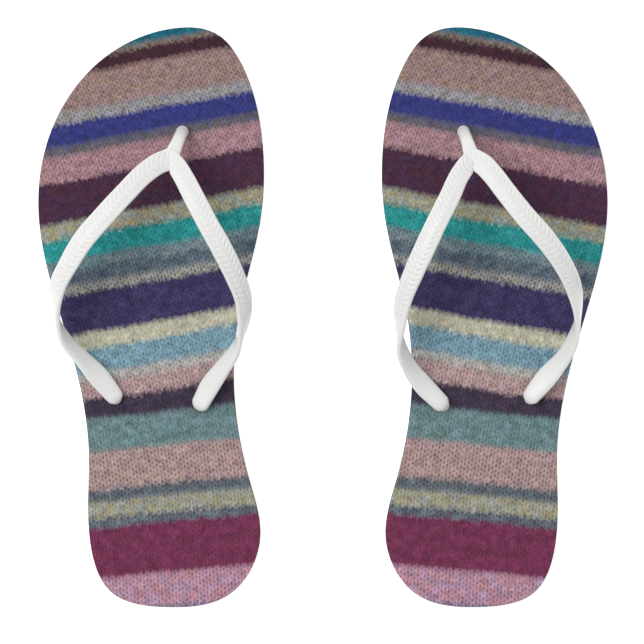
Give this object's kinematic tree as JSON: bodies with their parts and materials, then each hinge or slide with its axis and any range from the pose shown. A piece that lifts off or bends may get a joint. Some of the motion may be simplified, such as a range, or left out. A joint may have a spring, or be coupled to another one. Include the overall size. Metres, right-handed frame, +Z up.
{
  "type": "flip flop",
  "caption": "Pair of slim flip flops: flat foam sole with a striped knitted top and one moulded white thong strap each.",
  "frame": {"origin": "midway between the two sandals, on the surface they stand on", "axes": "+Y from heel to toes, +X from the left sandal to the right one, +Z up"},
  "size_m": [0.2474, 0.252, 0.0491],
  "materials": {
    "outsole_rubber": "matte",
    "footbed_foam": "matte",
    "knitted_textile": "matte",
    "strap_plastic": "satin"
  },
  "bodies": {
    "left_heel": {"left_outsole_heel": "outsole_rubber", "left_footbed_heel": "footbed_foam", "left_textile_top_heel": "knitted_textile", "left_strap": "strap_plastic"},
    "left_forefoot": {"left_outsole_forefoot": "outsole_rubber", "left_footbed_forefoot": "footbed_foam", "left_textile_top_forefoot": "knitted_textile"},
    "right_heel": {"right_outsole_heel": "outsole_rubber", "right_footbed_heel": "footbed_foam", "right_textile_top_heel": "knitted_textile", "right_strap": "strap_plastic"},
    "right_forefoot": {"right_outsole_forefoot": "outsole_rubber", "right_footbed_forefoot": "footbed_foam", "right_textile_top_forefoot": "knitted_textile"}
  },
  "joints": [
    {"name": "left_toe_flex", "type": "hinge", "parent": "left_heel", "child": "left_forefoot", "pos_m": [-0.075, 0.046, 0.015], "axis": [0.9781, 0.2079, 0], "range_deg": [0, 50], "stiffness_Nm_per_rad": 0.5, "deforming": ["left_strap"]},
    {"name": "right_toe_flex", "type": "hinge", "parent": "right_heel", "child": "right_forefoot", "pos_m": [0.075, 0.046, 0.015], "axis": [0.9781, -0.2079, 0], "range_deg": [0, 50], "stiffness_Nm_per_rad": 0.5, "deforming": ["right_strap"]},
    {"name": "right_sandal_lift", "type": "slide", "parent": "left_heel", "child": "right_heel", "axis": [0, 0, 1], "range_m": [0, 0.15]}
  ]
}
